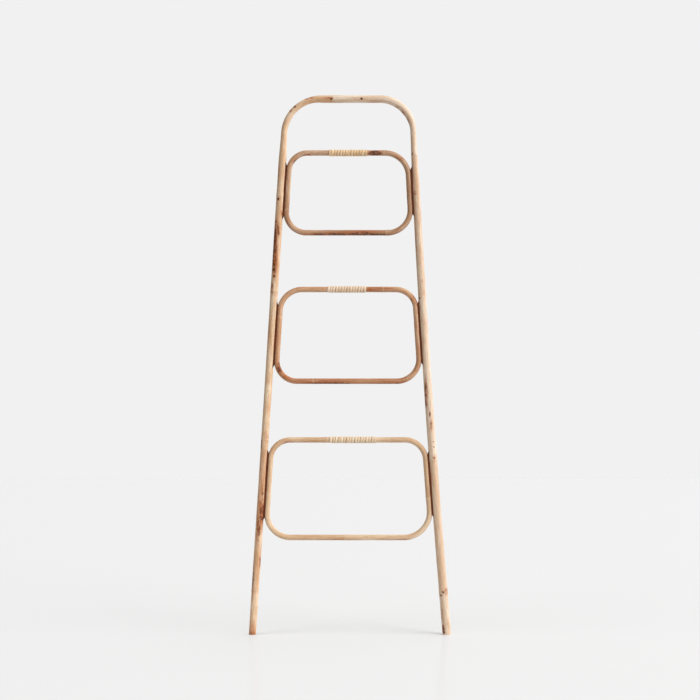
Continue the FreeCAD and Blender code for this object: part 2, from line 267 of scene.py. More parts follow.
def mark(piece, label, patches):
    """Stores soft patches on a cane as strengths from 0 to 1: (centre, half sizes, strength), in mm.

    A patch fades out from its middle to its edge. With a strength above 1 it stays full further out.
    """
    mesh = piece.data
    steepness = 1.7
    places = np.empty(len(mesh.vertices) * 3)
    mesh.vertices.foreach_get("co", places)
    places = places.reshape(-1, 3)
    total = np.zeros(len(places))
    for centre, half, strength in patches:
        away = np.linalg.norm((places - np.array(centre) * MM) / (np.array(half) * MM), axis=1)
        total = np.maximum(total, np.clip(steepness * strength * (1 - away), 0, min(strength, 1)))
    keep(mesh, label, total)


def on_leg(leg, patches):
    """Patches on the front of a leg, from (height, place across, half height, half width, strength)."""
    front, half_depth = -7, 13  # these reach from in front of the leg to just behind its middle
    found = []
    for height, across, half_height, half_width, strength in patches:
        centre = leg_at(leg, height * MM)[0] / MM
        found.append(((centre.x + across, front, height), (half_width, half_depth, half_height), strength))
    return found


def eye_on(leg, height, across, radius):
    """A knot on the front of a leg, as its place on the skin and its radius, in mm."""
    girth = leg_radius(leg, height * MM) / MM
    centre = leg_at(leg, height * MM)[0] / MM
    return (centre.x + across, -math.sqrt(girth ** 2 - across ** 2), height), radius


def saw(piece, point, normal):
    """Cuts off what lies on the side that normal points to, and closes the cut with a flat face."""
    solid = bmesh.new()
    solid.from_mesh(piece.data)
    everything = solid.verts[:] + solid.edges[:] + solid.faces[:]
    cut = bmesh.ops.bisect_plane(solid, geom=everything, plane_co=point, plane_no=normal, clear_outer=True)
    rim = [item for item in cut["geom_cut"] if isinstance(item, bmesh.types.BMEdge)]
    for face in bmesh.ops.holes_fill(solid, edges=rim, sides=0)["faces"]:
        face.material_index = 1  # sawn rattan
        face.smooth = False
    solid.to_mesh(piece.data)
    solid.free()


def turned(point, axis, profile):
    """Points and faces of a plug turned round an axis, from (distance along the axis, radius) pairs."""
    across = axis.orthogonal().normalized()
    other = axis.cross(across)
    steps = 24
    points, faces = [], []
    for along, radius in profile:
        for j in range(steps):
            turn = 2 * math.pi * j / steps
            spoke = across * math.cos(turn) + other * math.sin(turn)
            points.append(point + axis * along + spoke * radius)
    for i in range(len(profile) - 1):
        here, there = i * steps, (i + 1) * steps
        for j in range(steps):
            k = (j + 1) % steps
            faces.append((here + j, here + k, there + k, there + j))
    faces.append(tuple(reversed(range(steps))))
    faces.append(tuple(range((len(profile) - 1) * steps, len(profile) * steps)))
    return points, faces


def bore(piece, plugs):
    """Sinks the holes for the heads of nails and screws, each given as a turned plug, in bare rattan."""
    points, faces = [], []
    for plug_points, plug_faces in plugs:
        faces += [tuple(index + len(points) for index in face) for face in plug_faces]
        points += [tuple(point) for point in plug_points]
    mesh = bpy.data.meshes.new("drill")
    mesh.from_pydata(points, [], faces)
    mesh.materials.append(piece.data.materials[1])
    drill = bpy.data.objects.new("drill", mesh)
    scene.collection.objects.link(drill)
    cut = piece.modifiers.new("bore", "BOOLEAN")
    cut.operation = "DIFFERENCE"
    cut.solver = "EXACT"
    cut.object = drill
    cut.material_mode = "TRANSFER"
    bored = bpy.data.meshes.new_from_object(piece.evaluated_get(bpy.context.evaluated_depsgraph_get()))
    piece.modifiers.clear()
    piece.data = bored
    bpy.data.objects.remove(drill)


def linear(code):
    """An sRGB hex colour as linear light, with alpha."""
    parts = [int(code[i:i + 2], 16) / 255 for i in (1, 3, 5)]
    return tuple(p / 12.92 if p <= 0.04045 else ((p + 0.055) / 1.055) ** 2.4 for p in parts) + (1.0,)


def add(tree, kind, *inputs, out=None, **settings):
    """Adds a node with its settings and links, and returns the output named out, or its first one.

    The inputs go to the node's sockets in order: a value, another node's output, or None to leave one.
    """
    node = tree.nodes.new(kind)
    for name, value in settings.items():
        setattr(node, name, value)
    sockets = [socket for socket in node.inputs if socket.enabled]
    for socket, value in zip(sockets, inputs):
        if isinstance(value, bpy.types.NodeSocket):
            tree.links.new(value, socket)
        elif value is not None:
            socket.default_value = value
    if out:
        return node.outputs[out]
    return next((socket for socket in node.outputs if socket.enabled), None)


def new_material(name):
    """A new material, its node tree and the sockets of its shader."""
    material = bpy.data.materials.new(name)
    material.use_nodes = True
    return material, material.node_tree, material.node_tree.nodes["Principled BSDF"].inputs


# the brown veil of the stains, which also paints the shade under the hoops' lower rails and beside a leg
SCORCH_AND_SHADE = "#A9591C"
KNOT_RING, KNOT_EYE = "#A05420", "#2C1A0C"


def rattan_skin(name, pale, warm, ruddy, burnt_and_shade, knots=()):
    """Rattan with its skin on, steamed, rubbed down and matt lacquered.

    The eye sees straw to tan drifts 90 mm long, a tone of its own between one node and the next,
    streaks 1.8 mm wide and fibres 0.4 mm wide. Each node has a pale lip and a thin, broken brown scar.
    Where it was scorched or stained, and where shade is painted under the lower rails of the hoops and
    beside a leg, the skin is veiled in brown and broken up by dark blotches of about 6 mm. Knots are
    small ragged eyes, nearly black, in a reddish ring.
    """
    material, tree, skin = new_material(name)
    grain = add(tree, "ShaderNodeAttribute", attribute_name="grain", out="Vector")
    node_gap = add(tree, "ShaderNodeAttribute", attribute_name="node_gap", out="Fac")
    internode = add(tree, "ShaderNodeAttribute", attribute_name="internode", out="Fac")
    stain_and_shade = add(tree, "ShaderNodeAttribute", attribute_name="stain_and_shade", out="Fac")
    blush = add(tree, "ShaderNodeAttribute", attribute_name="blush", out="Fac")
    place = add(tree, "ShaderNodeTexCoord", out="Object")
    layers = {}
    # each layer of pattern: its length along the cane and its width, in mm, and its depth of detail
    for label, along, across, detail in (
        ("drift", 90, 16, 2),
        ("streaks", 45, 1.8, 3),
        ("fibres", 16, 0.4, 2),
        ("blotches", 8, 4.5, 4),
        ("specks", 3.6, 1.8, 1),
    ):
        repeats = (1000 / along, 1000 / across, 1000 / across)
        stretched = add(tree, "ShaderNodeVectorMath", grain, repeats, operation="MULTIPLY")
        layers[label] = add(tree, "ShaderNodeTexNoise", stretched, 1.0, detail, 0.6)

    # the sound skin: straw to tan, with ruddy streaks and ruddy patches
    own_tone = add(tree, "ShaderNodeMath", internode, 0.24, -0.12, operation="MULTIPLY_ADD")
    warmth = add(tree, "ShaderNodeMath", layers["drift"], own_tone, operation="ADD")
    warmth = add(tree, "ShaderNodeMapRange", warmth, 0.36, 0.64)
    tone = add(tree, "ShaderNodeMix", warmth, linear(pale), linear(warm), data_type="RGBA")
    streaked = add(tree, "ShaderNodeMapRange", layers["streaks"], 0.40, 0.68, 0.0, 0.6)
    tone = add(tree, "ShaderNodeMix", streaked, tone, linear(ruddy), data_type="RGBA")
    uneven = add(tree, "ShaderNodeMapRange", layers["streaks"], 0.3, 0.65, 0.35, 1.0)
    blushed = add(tree, "ShaderNodeMath", blush, uneven, operation="MULTIPLY")
    tone = add(tree, "ShaderNodeMix", blushed, tone, linear(ruddy), data_type="RGBA")

    # the stains, and painted shade under the hoops' lower rails and beside a leg: a brown veil eaten by
    # dark blotches, and faint clouds and specks all over
    veil = add(tree, "ShaderNodeMath", stain_and_shade, uneven, operation="MULTIPLY")
    tone = add(tree, "ShaderNodeMix", veil, tone, linear(SCORCH_AND_SHADE), data_type="RGBA")
    eaten = add(tree, "ShaderNodeMath", stain_and_shade, 0.34, layers["blotches"], operation="MULTIPLY_ADD")
    eaten = add(tree, "ShaderNodeMapRange", eaten, 0.76, 0.86, 0.0, 0.95)
    tone = add(tree, "ShaderNodeMix", eaten, tone, linear(burnt_and_shade), data_type="RGBA")
    clouded = add(tree, "ShaderNodeMapRange", layers["blotches"], 0.5, 0.8, 0.0, 0.4)
    tone = add(tree, "ShaderNodeMix", clouded, tone, linear(ruddy), data_type="RGBA")
    dotted = add(tree, "ShaderNodeMath", layers["drift"], 0.5, layers["specks"], operation="MULTIPLY_ADD")
    dotted = add(tree, "ShaderNodeMapRange", dotted, 0.98, 1.07, 0.0, 0.6)
    tone = add(tree, "ShaderNodeMix", dotted, tone, linear(burnt_and_shade), data_type="RGBA")

    # the nodes: a pale lip that fades out over 6 mm, and the scar under it
    ragged = add(tree, "ShaderNodeMath", layers["streaks"], 3 * MM, node_gap, operation="MULTIPLY_ADD")
    ragged = add(tree, "ShaderNodeMath", ragged, 1.5 * MM, operation="SUBTRACT")
    below = add(tree, "ShaderNodeMapRange", ragged, -0.5 * MM, 0.0)
    lip = add(tree, "ShaderNodeMapRange", ragged, 0.5 * MM, 6 * MM, 0.4, 0.0)
    lip = add(tree, "ShaderNodeMath", lip, below, operation="MULTIPLY")
    tone = add(tree, "ShaderNodeMix", lip, tone, linear(pale), data_type="RGBA")
    near = add(tree, "ShaderNodeMath", ragged, operation="ABSOLUTE")
    scar = add(tree, "ShaderNodeMapRange", near, 0.2 * MM, 1.3 * MM, 1.0, 0.0)
    broken = add(tree, "ShaderNodeMapRange", layers["blotches"], 0.42, 0.70, 0.0, 0.5)
    scar = add(tree, "ShaderNodeMath", scar, broken, operation="MULTIPLY")
    tone = add(tree, "ShaderNodeMix", scar, tone, linear(burnt_and_shade), data_type="RGBA")

    # the knots: the blotches push the edges of the eye and its ring in and out
    for centre, radius in knots:
        centre, radius = tuple(value * MM for value in centre), radius * MM
        away = add(tree, "ShaderNodeVectorMath", place, centre, operation="DISTANCE", out="Value")
        away = add(tree, "ShaderNodeMath", layers["blotches"], radius * 3.2, away, operation="MULTIPLY_ADD")
        ring = add(tree, "ShaderNodeMapRange", away, radius * 2.7, radius * 4.0, 0.7, 0.0)
        tone = add(tree, "ShaderNodeMix", ring, tone, linear(KNOT_RING), data_type="RGBA")
        eye = add(tree, "ShaderNodeMapRange", away, radius * 2.3, radius * 3.0, 0.95, 0.0)
        tone = add(tree, "ShaderNodeMix", eye, tone, linear(KNOT_EYE), data_type="RGBA")

    # the fibres, and the gloss and relief of the lacquered skin
    fine = add(tree, "ShaderNodeMapRange", layers["fibres"], 0.35, 0.7, 0.0, 0.22)
    tone = add(tree, "ShaderNodeMix", fine, tone, linear(burnt_and_shade), data_type="RGBA")
    gloss = add(tree, "ShaderNodeMapRange", layers["streaks"], 0.3, 0.7, 0.4, 0.56)
    fibres, blotches = layers["fibres"], layers["blotches"]
    relief = add(tree, "ShaderNodeMath", fibres, 0.7, blotches, operation="MULTIPLY_ADD")
    tree.links.new(tone, skin["Base Color"])
    tree.links.new(gloss, skin["Roughness"])
    tree.links.new(add(tree, "ShaderNodeBump", 0.4, 0.15 * MM, None, relief), skin["Normal"])
    skin["Specular IOR Level"].default_value = 0.35
    skin["Coat Weight"].default_value = 0.3
    skin["Coat Roughness"].default_value = 0.3
    return material


def sawn_rattan():
    """The sawn end of rattan: pale pith in soft 12 mm clouds, with open vessels about 1 mm apart."""
    material, tree, pith = new_material("sawn_rattan")
    place = add(tree, "ShaderNodeTexCoord", out="Object")
    cells = add(tree, "ShaderNodeTexVoronoi", place, 1000 / 1.0)
    pits = add(tree, "ShaderNodeMapRange", cells, 0.12, 0.4)
    clouds = add(tree, "ShaderNodeTexNoise", place, 1000 / 12, 3.0)
    tone = add(tree, "ShaderNodeMix", clouds, linear("#C8A678"), linear("#A67F54"), data_type="RGBA")
    tone = add(tree, "ShaderNodeMix", pits, linear("#5E4028"), tone, data_type="RGBA")
    tree.links.new(tone, pith["Base Color"])
    tree.links.new(add(tree, "ShaderNodeMapRange", clouds, 0.0, 1.0, 0.75, 0.95), pith["Roughness"])
    tree.links.new(add(tree, "ShaderNodeBump", 0.6, 0.2 * MM, None, pits), pith["Normal"])
    return material


SAWN = sawn_rattan()
SCARF_NORMAL = Vector((-2 * HEAD_RADIUS, SCARF_LENGTH, 0)).normalized()
FRAME_FACETS = 36  # points in a ring of a frame cane
NAIL_PLACE = 46.0 * MM  # from the middle of the scarf to each nail
NAIL_BORE_RADIUS = 2.05 * MM
NAIL_BORE_DEPTH = 1.15 * MM
DRILL_LEAD = 3.0 * MM  # how far outside the skin a drill starts
SCARF_NAILS = (SCARF_X - NAIL_PLACE, SCARF_X + NAIL_PLACE)
# Knots are (height, place across, radius), stains and blushes are patches for on_leg, and the marks
# round the shoulder are patches for mark. All are in mm. The long thin patches 10 to 12 mm left of the
# middle darken the left edge of a leg, and the first four marks round the right shoulder darken the
# inside of its bend and the underside of the bar.
LEGS["left"].update({
    "colours": ("#EED9BA", "#D6B18A", "#B67648", "#5C2600"),
    "seed": 3,
    "node_heights": (135, 595, 1052, 1345),
    "knots": [(1332, -5, 3.2), (1116, -5, 3.4), (1096, -3, 2.8), (1262, -8, 2.2), (1228, -6, 2.0)],
    "stains": [
        (1180, -6, 118, 13, 1.3), (1236, 1, 40, 9, 1.0), (1150, 0, 60, 8, 0.8), (1060, -7, 24, 9, 0.8),
        (436, 3, 50, 6, 0.9), (378, 4, 56, 10, 1.2), (325, -1, 50, 8, 1.1), (300, -2, 40, 6, 0.8),
        (190, -12, 100, 6, 1.0), (583, -11, 24, 6, 1.1), (222, 10, 26, 5, 1.0), (4, 0, 14, 18, 0.8),
        (1290, 7, 16, 4, 0.8), (1420, -10, 60, 4, 0.6), (940, -10, 70, 4, 0.5),
    ],
    "blushes": [
        (1175, -4, 130, 14, 0.7), (500, 0, 110, 20, 0.55), (370, 0, 90, 20, 0.95), (250, 0, 110, 20, 0.4),
        (12, 0, 40, 22, 0.95), (1046, 0, 14, 16, 0.6), (604, 0, 26, 16, 0.5), (136, 0, 14, 16, 0.5),
    ],
    "shoulder_marks": [
        ((-182, -7, 1602), (7, 10, 7), 0.9), ((-170, -7, 1614), (8, 10, 6), 0.9),
        ((-134, -5, 1639), (10, 10, 5), 0.85), ((-119, -5, 1641), (9, 10, 4), 0.8),
        ((-68, -8, 1640), (24, 10, 7), 0.6),
    ],
})
LEGS["right"].update({
    "colours": ("#E9D8C2", "#D6B99A", "#BC8B66", "#5A2C10"),
    "seed": 8,
    "node_heights": (128, 536, 1029, 1470),
    "knots": [
        (131, -1, 2.4), (121, -8, 2.0), (1029, -9, 2.2), (1470, -6, 1.6), (590, 4, 1.2), (574, 5, 1.4),
        (27, -10, 1.8), (18, -9, 2.4), (8, -8, 2.6), (541, 4, 1.2),
    ],
    "stains": [
        (744, -8, 54, 6, 0.9), (708, -10, 16, 6, 1.2), (674, 0, 16, 4.5, 1.6), (640, 1, 26, 4, 1.3),
        (540, 3, 9, 6, 0.9), (17, -10, 18, 6, 1.4), (133, 8, 14, 9, 0.8), (1081, 2, 9, 4, 0.7),
        (1350, -4, 12, 8, 0.7), (1180, -12, 90, 4, 0.6), (470, -11, 60, 5, 0.6), (60, -11, 50, 5, 0.6),
    ],
    "blushes": [
        (744, -6, 60, 10, 0.7), (640, 2, 30, 6, 0.8), (540, 3, 18, 10, 0.95), (900, -2, 22, 9, 0.6),
        (130, 4, 20, 14, 0.6), (1040, 0, 26, 12, 0.4), (1340, 0, 120, 16, 0.55),
    ],
    "shoulder_marks": [
        ((162, -5, 1594), (9, 12, 12), 0.7), ((177, -5, 1566), (6, 12, 20), 0.6),
        ((138, -5, 1613), (20, 12, 5), 0.5), ((77, -5, 1630), (34, 12, 5), 0.4),
        ((-58, -11, 1638), (9, 6, 8), 0.9),
    ],
})
for name, leg in LEGS.items():
    line, radii = leg_line(leg)
    travel = travel_along(line)
    heights = [point.z for point in line if point.z < leg["shoulder"]]
    dice = random.Random(leg["seed"])
    nodes = []
    for height in leg["node_heights"]:
        at = travel[np.searchsorted(heights, height * MM)]
        nodes.append((at, dice.uniform(-0.3, 0.3), dice.uniform(0, 2 * math.pi)))
    pole = cane("rattan_frame_" + name, line, radii, nodes, leg["seed"], FRAME_FACETS)
    mark(pole, "stain_and_shade", on_leg(leg, leg["stains"]) + leg["shoulder_marks"])
    mark(pole, "blush", on_leg(leg, leg["blushes"]) + leg["shoulder_marks"])
    eyes = [eye_on(leg, *knot) for knot in leg["knots"]]
    if name == "right":
        # a nearly black spot round each nail of the scarf, drawn like the eye of a knot
        for x, size in zip(SCARF_NAILS, (1.4, 2.4)):
            eyes.append(((x / MM, -HEAD_RADIUS / MM, BAR_Z / MM), size))
    pole.data.materials.append(rattan_skin("lacquered_rattan_" + name, *leg["colours"], eyes))
    pole.data.materials.append(SAWN)
    saw(pole, Vector((0, 0, 0)), Vector((0, 0, -1)))
    cut = Vector((SCARF_X, 0, BAR_Z)) - SCARF_NORMAL * (leg["side"] * GLUE / 2)
    saw(pole, cut, SCARF_NORMAL * leg["side"])
    if name == "right":
        profile = [(0, NAIL_BORE_RADIUS), (DRILL_LEAD + NAIL_BORE_DEPTH, NAIL_BORE_RADIUS)]
        front = [Vector((x, -HEAD_RADIUS - DRILL_LEAD, BAR_Z)) for x in SCARF_NAILS]
        bore(pole, [turned(point, Vector((0, 1, 0)), profile) for point in front])
    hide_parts("frame_cane_" + name)
    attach(pole, "root")

# ---------------------------------------------------------------------------
# The hoops.
# Each is one thin rattan cane bent round four corners, its ends scarfed in the upper rail.
# Its sides run beside the legs, and two countersunk screws in each go through it into the leg.
# ---------------------------------------------------------------------------
HOOP_RADIUS = 8.5 * MM
HOOP_FACETS = 28  # points in a ring of a hoop's cane
WAIST = 0.9 * MM  # the least thickness of the strip between the hoop and the leg
SCREW_SINK = 0.9 * MM
SCREW_HEAD_RADIUS = 3.55 * MM
SCREW_SHANK_RADIUS = 1.8 * MM
SCREW_BORE = 3.0 * MM  # from the seat of the head to the end of the hole
FIRST_NODE, LAST_NODE = 110.0 * MM, 50.0 * MM  # at least this far from either end of a hoop's cane
NODE_SPACING = (240, 380)  # mm
# The radii are those of the corners, upper then lower, in mm. join is the place of the scarf along
# the rail, and screws how far apart they are. Stains and blushes are patches for mark, and some of
# the stains are painted shade, under the lower rail and beside the left leg.
HOOPS = {
    "top": {
        "radii": {"left": (58, 62), "right": (72, 70)},
        "join": -6.3 * MM,
        "turns": 14,
        "screws": 76 * MM,
        "colours": ("#D8B898", "#BC9472", "#945E3A", "#43200C"),
        "seed": 21,
        "stains": [
            ((76, -5, 1472), (28, 12, 11), 1.7),
            # the first patch here is painted shade along the underside of the lower rail
            ((0, -3, 1221), (240, 16, 12), 1.2), ((40, -3, 1229), (90, 14, 9), 0.9),
            ((-165, -3, 1448), (18, 12, 16), 0.9), ((-128, -3, 1466), (18, 12, 8), 0.8),
            # the second patch here is painted shade along the hoop's left edge, in the valley beside the
            # leg
            ((150, -3, 1455), (30, 12, 10), 0.7), ((-203, -3, 1340), (6, 12, 60), 0.8),
        ],
        "blushes": [
            ((0, 0, 1229), (220, 22, 26), 1.0),
            ((80, 0, 1473), (46, 20, 12), 0.8),
            ((-190, 0, 1290), (20, 20, 80), 0.8),
        ],
    },
    "middle": {
        "radii": {"left": (68, 62), "right": (62, 68)},
        "join": -10.3 * MM,
        "turns": 14,
        "screws": 96 * MM,
        "colours": ("#DFBD98", "#C69B74", "#9E562C", "#521F08"),
        "seed": 34,
        "stains": [
            ((-214, -5, 815), (14, 14, 26), 1.1), ((-190, -5, 788), (24, 14, 12), 0.9),
            ((60, -3, 1055), (12, 12, 10), 0.8),
            ((195, -4, 1022), (24, 14, 26), 0.6),
            # both patches here are painted shade along the underside of the lower rail
            ((-60, -3, 768), (130, 16, 9), 1.0), ((130, -3, 767), (90, 16, 8), 0.8),
        ],
        "blushes": [
            ((90, 0, 1055), (72, 22, 16), 1.0),
            ((-90, 0, 777), (150, 22, 24), 1.0),
            ((120, 0, 777), (120, 22, 24), 0.75),
            ((-205, -2, 820), (26, 22, 50), 0.8),
            ((200, -2, 900), (20, 20, 140), 0.45),
        ],
    },
    "bottom": {
        "radii": {"left": (61, 72), "right": (64, 78)},
        "join": 9.3 * MM,
        "turns": 17,
        "screws": 100 * MM,
        "colours": ("#E8D0B0", "#D2B08C", "#B88A60", "#5E3416"),
        "seed": 55,
        "stains": [
            # both patches here are painted shade along the underside of the lower rail
            ((150, -4, 290), (90, 12, 7), 0.6), ((-30, -4, 290), (80, 12, 6), 0.5),
            ((-190, -3, 585), (26, 12, 16), 0.7), ((-160, -3, 312), (30, 12, 14), 0.5),
        ],
        "blushes": [
            ((-60, 0, 297), (160, 20, 16), 0.5),
            ((-110, 0, 595), (90, 20, 14), 0.9),
            ((240, 0, 420), (16, 20, 90), 0.5),
        ],
    },
}


def side_line(hoop, leg):
    """A point on the hoop's side at its middle height, the way outward and the way up along it."""
    middle = (hoop["upper"] + hoop["lower"]) / 2
    centre, lean = leg_at(leg, middle)
    outward = outward_of(leg, lean)
    point = centre - outward * (leg_radius(leg, middle) + WAIST + HOOP_RADIUS)
    return point, outward, Vector((-leg["side"] * math.sin(lean), 0, math.cos(lean)))


def add_run(points, end):
    """Adds evenly spaced points from the last one straight to an end."""
    start = points[-1]
    steps = math.ceil((end - start).length / RING_STEP)
    points.extend(start.lerp(end, step / steps) for step in range(1, steps + 1))


def hoop_line(hoop):
    """Points round the hoop, clockwise from the joint in its upper rail back to it."""
    corners, rounds = [], []
    for side, rail in (("right", "upper"), ("right", "lower"), ("left", "lower"), ("left", "upper")):
        point, _, up = side_line(hoop, LEGS[side])
        corners.append(point + up * ((hoop[rail] - point.z) / up.z))
        rounds.append(hoop["radii"][side][0 if rail == "upper" else 1] * MM)
    joint = Vector((hoop["join"], 0, hoop["upper"]))
    points = [joint]
    for i, corner in enumerate(corners):
        before = (corners[i - 1] - corner).normalized()
        after = (corners[(i + 1) % 4] - corner).normalized()
        half = before.angle(after) / 2
        centre = corner + (before + after).normalized() * (rounds[i] / math.sin(half))
        start = corner + before * (rounds[i] / math.tan(half)) - centre
        end = corner + after * (rounds[i] / math.tan(half)) - centre
        sweep = start.angle(end)
        add_run(points, centre + start)
        steps = math.ceil(rounds[i] * sweep / RING_STEP)
        for step in range(1, steps + 1):
            share = step / steps
            first, second = math.sin((1 - share) * sweep), math.sin(share * sweep)
            points.append(centre + (start * first + end * second) / math.sin(sweep))
    add_run(points, joint - Vector((GLUE, 0, 0)))
    return points


for name, hoop in HOOPS.items():
    low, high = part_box(f"hoop_{name}_cane")
    hoop["upper"] = high[2] - HOOP_RADIUS
    hoop["lower"] = low[2] + HOOP_RADIUS
    line = hoop_line(hoop)
    length = travel_along(line)[-1]
    dice = random.Random(hoop["seed"])
    nodes, at = [], FIRST_NODE
    while at < length - LAST_NODE:
        nodes.append((at, dice.uniform(-0.35, 0.35), dice.uniform(0, 2 * math.pi)))
        at += dice.uniform(*NODE_SPACING) * MM
    radii = [HOOP_RADIUS] * len(line)
    ring = cane("rattan_hoop_" + name, line, radii, nodes, hoop["seed"], HOOP_FACETS)
    mark(ring, "stain_and_shade", hoop["stains"])
    mark(ring, "blush", hoop["blushes"])
    ring.data.materials.append(rattan_skin("lacquered_rattan_hoop_" + name, *hoop["colours"]))
    ring.data.materials.append(SAWN)
    seat = DRILL_LEAD + SCREW_SINK
    countersink = [(0, SCREW_HEAD_RADIUS), (seat, SCREW_HEAD_RADIUS)]
    countersink.append((seat + SCREW_HEAD_RADIUS - SCREW_SHANK_RADIUS, SCREW_SHANK_RADIUS))
    countersink.append((seat + SCREW_BORE, SCREW_SHANK_RADIUS))
    holes = []
    for leg in LEGS.values():
        point, outward, up = side_line(hoop, leg)
        inner = point - outward * (HOOP_RADIUS + DRILL_LEAD)
        for step in (-hoop["screws"] / 2, hoop["screws"] / 2):
            holes.append(turned(inner + up * step, outward, countersink))
    bore(ring, holes)
    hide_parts(f"hoop_{name}_cane")
    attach(ring, "root")

# ---------------------------------------------------------------------------
# The bindings.
# A strip of cane peel, glossy side out, wound tight round the scarf of each hoop. Its turns lie
# side by side, crowned a little across, and its ends are tucked in and tacked at the back.
# ---------------------------------------------------------------------------
PITCH = 8.5 * MM
PEEL_WIDTH = 8.2 * MM
PEEL_THICKNESS = 1.6 * MM
PEEL_GAP = 0.15 * MM  # between the hoop and the peel
TURN_STEPS = 40  # rings of points in a turn
TUCK = 0.3  # of a turn, by which either end runs on at the back
END_TAPER = 0.12  # of a turn, over which an end thins to a quarter


def wound_peel(name, hoop, seed):
    """The strip as one ribbon with a crowned section, its turns a little uneven, wound on the hoop."""
    dice = random.Random(seed)
    start = hoop["join"] - hoop["turns"] * PITCH / 2 + PITCH / 2
    turns = hoop["turns"] - 1
    slips = [dice.uniform(-0.3, 0.3) * MM for _ in range(turns + 3)]
    lifts = [dice.uniform(-0.12, 0.08) * MM for _ in range(turns + 3)]
    # the section goes over the crown and back along the flat inside: places across and up, as shares
    section = [(-1 + k / 4, 1 - 0.5 * abs(-1 + k / 4) ** 3) for k in range(9)]
    section += [(1.0, 0.15), (0.6, 0.0), (-0.6, 0.0), (-1.0, 0.15)]
    width = len(section)
    total = int((turns + 2 * TUCK) * TURN_STEPS)
    points, grain, faces = [], [], []
    for i in range(total + 1):
        wound = i / TURN_STEPS - TUCK
        whole = max(0, math.floor(wound + 1))
        ease = eased(wound + 1 - whole)
        slip = slips[whole] * (1 - ease) + slips[whole + 1] * ease
        lift = lifts[whole] * (1 - ease) + lifts[whole + 1] * ease
        taper = min(1.0, 0.25 + 0.75 * min(i, total - i) / (END_TAPER * TURN_STEPS))
        middle = start + max(0.0, min(float(turns), wound)) * PITCH + slip
        turn = math.pi + 2 * math.pi * wound
        along = 2 * math.pi * HOOP_RADIUS * wound + seed
        for across, crown in section:
            radius = HOOP_RADIUS + PEEL_GAP + (PEEL_THICKNESS + lift) * crown * taper
            x = middle + across * PEEL_WIDTH / 2 * (0.6 + 0.4 * taper)
            points.append((x, radius * math.cos(turn), hoop["upper"] - radius * math.sin(turn)))
            grain.append((along, across * PEEL_WIDTH / 2, crown * PEEL_THICKNESS))
    for i in range(total):
        here, there = i * width, (i + 1) * width
        for k in range(width):
            n = (k + 1) % width
            faces.append((here + k, here + n, there + n, there + k))
    faces.append(tuple(reversed(range(width))))
    faces.append(tuple(range(total * width, (total + 1) * width)))
    mesh = bpy.data.meshes.new(name)
    mesh.from_pydata(points, [], faces)
    mesh.polygons.foreach_set("use_smooth", [True] * len(faces))
    keep(mesh, "grain", grain)
    solid = bmesh.new()
    solid.from_mesh(mesh)
    bmesh.ops.recalc_face_normals(solid, faces=solid.faces[:])
    solid.to_mesh(mesh)
    solid.free()
    piece = bpy.data.objects.new(name, mesh)
    scene.collection.objects.link(piece)
    return piece


def cane_peel(name, pale, warm, cut_edge_and_shade):
    """Cane peel, the split outer skin of rattan, scraped and wound damp: straw coloured, half glossy.

    The eye sees fibres 0.5 mm apart along the strip, a tone that changes from turn to turn, and a dark
    line where two turns meet: the cut edge where the knife went through the skin, with painted shade
    of the groove between the turns.
    """
    material, tree, peel = new_material(name)
    grain = add(tree, "ShaderNodeAttribute", attribute_name="grain", out="Vector")
    across = add(tree, "ShaderNodeSeparateXYZ", grain, out="Y")
    turns = add(tree, "ShaderNodeVectorMath", grain, (1000 / 55, 1000 / 12, 1.0), operation="MULTIPLY")
    strands = add(tree, "ShaderNodeVectorMath", grain, (1000 / 20, 1000 / 0.5, 1.0), operation="MULTIPLY")
    drift = add(tree, "ShaderNodeTexNoise", turns, 1.0, 2.0)
    fibres = add(tree, "ShaderNodeTexNoise", strands, 1.0, 2.0)
    tone = add(tree, "ShaderNodeMapRange", drift, 0.34, 0.66)
    tone = add(tree, "ShaderNodeMix", tone, linear(pale), linear(warm), data_type="RGBA")
    lines = add(tree, "ShaderNodeMapRange", fibres, 0.38, 0.72, 0.0, 0.35)
    tone = add(tree, "ShaderNodeMix", lines, tone, linear("#A9713F"), data_type="RGBA")
    # the dark line along both edges: the cut edge, and painted shade in the groove where two turns meet
    edge = add(tree, "ShaderNodeMath", across, operation="ABSOLUTE")
    edge = add(tree, "ShaderNodeMapRange", edge, 3.3 * MM, 4.1 * MM, 0.0, 0.9)
    tone = add(tree, "ShaderNodeMix", edge, tone, linear(cut_edge_and_shade), data_type="RGBA")
    tree.links.new(tone, peel["Base Color"])
    tree.links.new(add(tree, "ShaderNodeMapRange", fibres, 0.3, 0.7, 0.34, 0.5), peel["Roughness"])
    tree.links.new(add(tree, "ShaderNodeBump", 0.35, 0.12 * MM, None, fibres), peel["Normal"])
    return material


# pale, warm, and the brown of the cut edges, which also paints the shade between the turns
PEEL_COLOURS = {
    "top": ("#F0DAB6", "#CDA06A", "#85501F"),
    "middle": ("#ECDBC4", "#D3B18E", "#8A5E38"),
    "bottom": ("#EADAC0", "#D6B993", "#8E643C"),
}
for seed, (name, hoop) in enumerate(HOOPS.items()):
    winding = wound_peel("peel_binding_" + name, hoop, seed + 1)
    winding.data.materials.append(cane_peel("wound_cane_peel_" + name, *PEEL_COLOURS[name]))
    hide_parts(f"hoop_{name}_binding")
    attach(winding, "root")

# ---------------------------------------------------------------------------
# The filler strips.
# Hardwood strips in dark brown, hollowed on both faces, glued in the valley between hoop and leg.
# They keep the shape that they have in the model.
# ---------------------------------------------------------------------------


